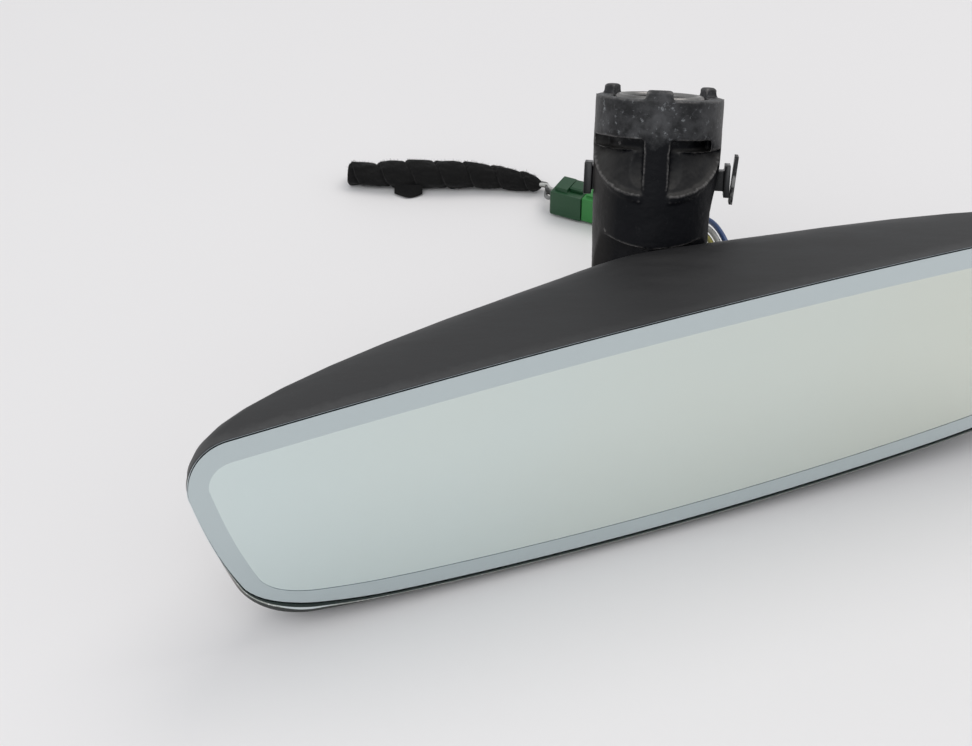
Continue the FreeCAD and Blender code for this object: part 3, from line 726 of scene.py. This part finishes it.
POCKET_TOP, POCKET_TALL, POCKET_WIDE = -12.9, 10.6, 12.9
POCKET_STEP, POCKET_DEEP = 0.7, 2.6
LIP_RISE, LIP_TALL, LIP_FADE = 0.6, 0.22, 0.25
WEB_HALF = 3.3
SKIN_R, CORE_R = 16.3, 10.5


def pocket_depth(x, z):
    """How far the pocket under a slot is cut into the skin at x and z, in the stem frame."""
    across = (abs(x) - WEB_HALF) / POCKET_WIDE
    if across < 0 or across >= 1 or z > POCKET_TOP:
        return 0.0
    down = (POCKET_TOP - z) / (POCKET_TALL * math.sqrt(1 - across * across))
    if down < 1:
        return POCKET_STEP + POCKET_DEEP * (1 - down)
    return -LIP_RISE * max(0.0, 1 - (down - 1) / LIP_TALL) * min(1.0, across / LIP_FADE)


def carve_pockets(mesh):
    """Widens the two scooped pockets round the front of the stem, with a step along their lower edge."""
    lean = Vector((0, 0, 1)).rotation_difference(STEM_AXIS).to_matrix()
    for vertex in mesh.vertices:
        place = lean.transposed() @ vertex.co / MM
        radius = math.hypot(place.x, place.y)
        if place.y > -1.5 or radius < CORE_R:
            continue
        depth = pocket_depth(place.x, place.z)
        limit = SKIN_R - depth
        if depth and (radius > limit or depth < 0 and radius > SKIN_R - LIP_RISE):
            place.x, place.y = place.x * limit / radius, place.y * limit / radius
            vertex.co = lean @ place * MM
    mesh.update()


def build_casting(materials):
    """The casting with rounded cast edges and a slightly uneven skin."""
    work = cad_copy("stem_casting")
    weld = work.modifiers.new("weld", "WELD")
    weld.merge_threshold = WELD_GAP * MM
    remesh = work.modifiers.new("remesh", "REMESH")
    remesh.mode = "VOXEL"
    remesh.voxel_size = CAST_VOXEL * MM
    blank = baked_mesh(work, "stem_casting_blank")
    carve_pockets(blank)
    work.modifiers.clear()
    work.data = blank
    smooth = work.modifiers.new("smooth", "SMOOTH")
    smooth.iterations = CAST_SMOOTH
    smooth.factor = 0.5
    mesh = baked_mesh(work, "stem_casting_worn")
    discard(work)
    normals = [vertex.normal.copy() for vertex in mesh.vertices]
    for vertex, normal in zip(mesh.vertices, normals):
        place = vertex.co / MM
        lumps = noise.noise(place * 0.22) * 0.6 + noise.noise(place * 0.9) * 0.4
        vertex.co += normal * lumps * CAST_ROUGH * MM
    mesh.polygons.foreach_set("use_smooth", [True] * len(mesh.polygons))
    piece = add_piece("stem_casting_worn", mesh, "stem", ["stem_casting"], [materials["casting"]])


# ---------------------------------------------------------------- new meshes: cords and tape


def spline(points, per_span):
    """Points along a smooth curve through points."""
    ends = [points[0] * 2 - points[1]] + list(points) + [points[-1] * 2 - points[-2]]
    result = []
    for i in range(len(points) - 1):
        p0, p1, p2, p3 = ends[i:i + 4]
        for k in range(per_span):
            t = k / per_span
            a = p1 * 2 + (p2 - p0) * t
            b = (p0 * 2 - p1 * 5 + p2 * 4 - p3) * t * t
            c = (p1 * 3 - p0 - p2 * 3 + p3) * t * t * t
            result.append((a + b + c) / 2)
    return result + [points[-1]]


def frames_along(path):
    """Frame of (side, up) across the path at each point, level with the floor."""
    frames = []
    for i, point in enumerate(path):
        ahead = (path[min(i + 1, len(path) - 1)] - path[max(i - 1, 0)]).normalized()
        side = ahead.cross(Vector((0, 0, 1))).normalized()
        frames.append((side, side.cross(ahead)))
    return frames


def sweep(path, radius, around, floor_z=None):
    """Closed tube: radius(i, angle) gives the distance from the path. Points, faces."""
    points, faces = [], []
    for i, (centre, (side, up)) in enumerate(zip(path, frames_along(path))):
        for k in range(around):
            angle = 2 * math.pi * k / around
            out = side * math.cos(angle) + up * math.sin(angle)
            point = centre + out * radius(i, angle)
            if floor_z is not None:
                point.z = max(point.z, floor_z)
            points.append(point)
    for i in range(len(path) - 1):
        faces += bridge(i * around, (i + 1) * around, around)
    faces.append(tuple(range(around)))
    faces.append(tuple(reversed(range((len(path) - 1) * around, len(path) * around))))
    return points, faces


FLOOR_Z = -83.4
SLEEVE_X = (-35.5, -46, -57, -68, -79, -89, -97)
SLEEVE_Y = (85.5, 87.0, 87.0, 86.0, 85.2, 85.0, 85.6)
SLEEVE_R = (2.5, 3.3, 4.0, 4.3, 4.3, 3.7, 3.3)
LAP_PITCH = 9.0
LAP_STEP = 0.4
PLUG_AT = Vector((-20.5, 73.0, -78.4))
PLUG_TURN = 158.8


def plug_point(x, y, z):
    return Matrix.Rotation(math.radians(PLUG_TURN), 3, "Z") @ Vector((x, y, z)) + PLUG_AT


def sleeve_stations():
    return [Vector((x, y, FLOOR_Z + r + 0.2)) for x, y, r in zip(SLEEVE_X, SLEEVE_Y, SLEEVE_R)]


def build_sleeve(materials):
    """Bundle wound in fleece tape: overlapping spiral laps, wrinkles, a flared cut end and a loose corner."""
    per_span = 26
    path = spline(sleeve_stations(), per_span)
    lengths = [0.0]
    for a, b in zip(path, path[1:]):
        lengths.append(lengths[-1] + (b - a).length)
    total = lengths[-1]
    stations = [Vector((r, 0, 0)) for r in SLEEVE_R]
    radii = [v.x for v in spline(stations, per_span)]

    def radius(i, angle):
        s = lengths[i]
        turn = (s / LAP_PITCH + angle / (2 * math.pi)) % 1.0
        lap = LAP_STEP * (turn ** 0.7 - 0.5)
        crease = -0.5 * math.exp(-((turn - 0.04) / 0.05) ** 2)
        spot = path[i] + Vector((0, math.cos(angle), math.sin(angle))) * 4
        wrinkle = 0.42 * noise.noise(Vector((s * 0.22, spot.y * 0.5, spot.z * 0.5)))
        wrinkle += 0.2 * noise.noise(Vector((s * 0.7 + angle, spot.y * 0.9, spot.z * 0.9)))
        end = 1 - math.exp(-s / 1.3) * 0.75
        flare = 0.55 * math.exp(-(total - s) / 2.2)
        return (radii[i] + lap + crease + wrinkle + flare) * end

    points, faces = sweep(path, radius, 56, FLOOR_Z + 0.05)
    points = [p * MM for p in points]
    mesh = mesh_from("harness_sleeve_tape", points, faces)
    piece = add_piece("harness_sleeve_tape", mesh, "harness", ["harness_sleeve"], [materials["tape"]])
    piece.modifiers.new("subdivision", "SUBSURF").levels = 1
    build_fuzz(mesh, materials)
    build_flap(materials)


def build_fuzz(mesh, materials):
    """Short loose fibres that stand out of the fleece."""
    rng = random.Random(7)
    polygons = mesh.polygons
    points, faces = [], []
    for _ in range(3200):
        polygon = polygons[rng.randrange(len(polygons))]
        root = polygon.center.copy()
        normal = polygon.normal
        if root.z < (FLOOR_Z + 0.8) * MM or normal.z < -0.6:
            continue
        lean = Vector((rng.uniform(-1, 1), rng.uniform(-1, 1), rng.uniform(-1, 1))) * 0.9
        ahead = (normal + lean).normalized()
        length = rng.uniform(0.3, 1.1) * MM
        width = rng.uniform(0.025, 0.045) * MM
        side = ahead.orthogonal().normalized()
        other = ahead.cross(side)
        bend = Vector((rng.uniform(-1, 1), rng.uniform(-1, 1), rng.uniform(-0.6, 0.6))) * length * 0.35
        root -= normal * 0.1 * MM
        base = len(points)
        for along, size in ((0.0, 1.0), (0.55, 0.7)):
            centre = root + ahead * length * along + bend * along * along
            for k in range(3):
                turn = 2 * math.pi * k / 3
                points.append(centre + (side * math.cos(turn) + other * math.sin(turn)) * width * size)
        points.append(root + ahead * length + bend)
        faces += [(base + k, base + (k + 1) % 3, base + 3 + (k + 1) % 3, base + 3 + k) for k in range(3)]
        faces += [(base + 3 + k, base + 3 + (k + 1) % 3, base + 6) for k in range(3)]
    fuzz = mesh_from("harness_sleeve_fuzz", points, faces)
    add_piece("harness_sleeve_fuzz", fuzz, "harness", (), [materials["tape"]])


def build_flap(materials):
    """Loose corner of the last lap, hanging to the floor in front of the bundle."""
    columns, rows, thick = 14, 8, 0.35
    points = []
    for side in (0, 1):
        for i in range(columns + 1):
            for j in range(rows + 1):
                u, v = i / columns, j / rows
                x = -82.0 + 9.0 * u
                reach = 1.0 + 2.6 * v * (1 - abs(2 * u - 0.9) ** 1.6 * 0.6)
                curl = 0.35 * math.sin(5 * u + 2 * v)
                y = 85.4 - 3.7 - reach + curl * v
                z = FLOOR_Z + 2.9 * (1 - v) ** 1.5 + 0.3 + 0.2 * math.sin(7 * u) * v + side * thick
                points.append(Vector((x, y, z)) * MM)
    faces = []
    stride = rows + 1
    layer = (columns + 1) * stride
    for i in range(columns):
        for j in range(rows):
            a = i * stride + j
            faces.append((a, a + 1, a + stride + 1, a + stride))
            faces.append((layer + a, layer + a + stride, layer + a + stride + 1, layer + a + 1))
    rim = [i * stride for i in range(columns + 1)]
    rim += [columns * stride + j for j in range(1, stride)]
    rim += [i * stride + rows for i in range(columns - 1, -1, -1)]
    rim += [j for j in range(rows - 1, 0, -1)]
    for a, b in zip(rim, rim[1:] + rim[:1]):
        faces.append((a, b, layer + b, layer + a))
    mesh = mesh_from("harness_tape_corner", points, faces)
    piece = add_piece("harness_tape_corner", mesh, "harness", (), [materials["tape"]])
    piece.modifiers.new("subdivision", "SUBSURF").levels = 1


CORD_R = 0.62
CORDS = (("pale", "grey", -1, 0.5, 0.9), ("brown", "brown", 0, 0.2, -0.2), ("black", "dark", 0.35, 0.9, 0.3),
         ("mid_grey", "mid", 1, -0.5, -0.9))


def build_cords(materials):
    """Bare cords between the plug and the tape."""
    start = sleeve_stations()[0]
    for name, finish, lane, lift, drop in CORDS:
        plug_end = plug_point(10.0, lane * 1.9, 0)
        middle = plug_point(13.2, lane * 1.7 + 0.3, lift)
        inside = start + Vector((-3.0, lane * 0.9, drop * 0.6))
        near = start + Vector((1.2, lane * 1.1, drop))
        path = spline([plug_end, middle, near, inside], 10)
        points, faces = sweep(path, lambda i, angle: CORD_R, 14)
        mesh = mesh_from("cord_" + name, [p * MM for p in points], faces)
        stands = ["plug_wires"] if name == "brown" else ()
        add_piece("cord_" + name, mesh, "harness", stands, [materials[finish]])


# Pigtail stations from the ball centre, millimetres: the middle wire and the way from it to the outer one
PIGTAIL = (
    ((6.2, 15.0, 3.4), (0.0, 0.0, -1.9)),
    ((11.4, 22.5, 1.7), (0.9, -0.9, -1.4)),
    ((18.0, 29.5, 4.6), (1.6, -0.9, -0.3)),
    ((18.9, 34.8, 10.4), (1.7, 0.2, 0.8)),
    ((15.4, 45.0, 12.4), (0.9, 0.9, 1.4)),
    ((9.0, 57.0, 7.4), (0.5, 0.9, 1.6)),
    ((4.0, 76.0, -6.0), (0.6, 1.1, 1.4)),
    ((6.0, 98.0, -23.0), (1.3, 0.9, 1.1)),
)
PIGTAIL_IN_PLUG = (-19.0, -13.0, -9.2)
WIRE_R = 0.75


def build_pigtail(materials):
    """Three wires from the recess round the right of the stem to the receptacle."""
    ball = Vector(JOINTS["head_roll"]["pos_m"]) / MM
    for lane, colour in ((1, "blue"), (0, "grey"), (-1, "yellow")):
        path = [ball + Vector(point) + Vector(outward) * lane for point, outward in PIGTAIL]
        path += [plug_point(x, -1.9 * lane, 0) for x in PIGTAIL_IN_PLUG]
        points, faces = sweep(spline(path, 12), lambda i, angle: WIRE_R, 16)
        mesh = mesh_from("pigtail_" + colour, [p * MM for p in points], faces)
        piece = add_piece("pigtail_" + colour, mesh, "stem", [colour + "_wire"], [materials[colour]])


# ---------------------------------------------------------------- stage


def build_stage():
    size = 3.0
    corners = [(-size, -size), (size, -size), (size, size), (-size, size)]
    z = (FLOOR_Z - 0.15) * MM
    mesh = mesh_from("floor", [(x, y, z) for x, y in corners], [(0, 1, 2, 3)])
    mesh.materials.append(floor_material())
    floor = bpy.data.objects.new("floor", mesh)
    bpy.context.scene.collection.objects.link(floor)


def add_light(name, place, target, size, power, colour):
    data = bpy.data.lights.new(name, "AREA")
    data.shape = "DISK"
    data.size = size
    data.energy = power
    data.color = colour
    light = bpy.data.objects.new(name, data)
    light.location = place
    aim = Vector(target) - Vector(place)
    light.rotation_euler = aim.to_track_quat("-Z", "Y").to_euler()
    bpy.context.scene.collection.objects.link(light)


def build_lights():
    add_light("key", (0.5, 0.7, 1.6), (0, 0, -0.05), 1.4, 10.0, (1.0, 0.955, 0.925))
    add_light("fill", (-0.3, -1.2, 1.3), (0, 0, -0.05), 1.6, 12.0, (0.97, 0.985, 1.0))
    world = bpy.data.worlds.new("studio")
    world.use_nodes = True
    background = world.node_tree.nodes["Background"]
    background.inputs["Color"].default_value = (0.945, 0.97, 1.0, 1)
    background.inputs["Strength"].default_value = 0.6
    bpy.context.scene.world = world
    bpy.context.scene.view_settings.view_transform = "Standard"


def build_camera():
    azimuth, elevation = math.radians(CAMERA_AZIMUTH), math.radians(CAMERA_ELEVATION)
    back = Vector((math.sin(azimuth) * math.cos(elevation), -math.cos(azimuth) * math.cos(elevation),
                   math.sin(elevation)))
    right = Vector((math.cos(azimuth), math.sin(azimuth), 0))
    turn = Matrix((right, back.cross(right), back)).transposed().to_4x4()
    data = bpy.data.cameras.new("camera")
    data.lens = CAMERA_LENS
    data.sensor_width = 36
    data.clip_start = 0.01
    camera = bpy.data.objects.new("camera", data)
    camera.matrix_world = Matrix.Translation(CAMERA_AT) @ turn @ Matrix.Rotation(math.radians(CAMERA_ROLL), 4, "Z")
    bpy.context.scene.collection.objects.link(camera)
    bpy.context.scene.camera = camera


MATERIALS = make_materials()
finish_nodes(MATERIALS)
build_glass(MATERIALS)
build_ring(MATERIALS)
build_mirror(MATERIALS)
build_casting(MATERIALS)
build_sleeve(MATERIALS)
build_cords(MATERIALS)
build_pigtail(MATERIALS)
build_stage()
build_lights()
build_camera()
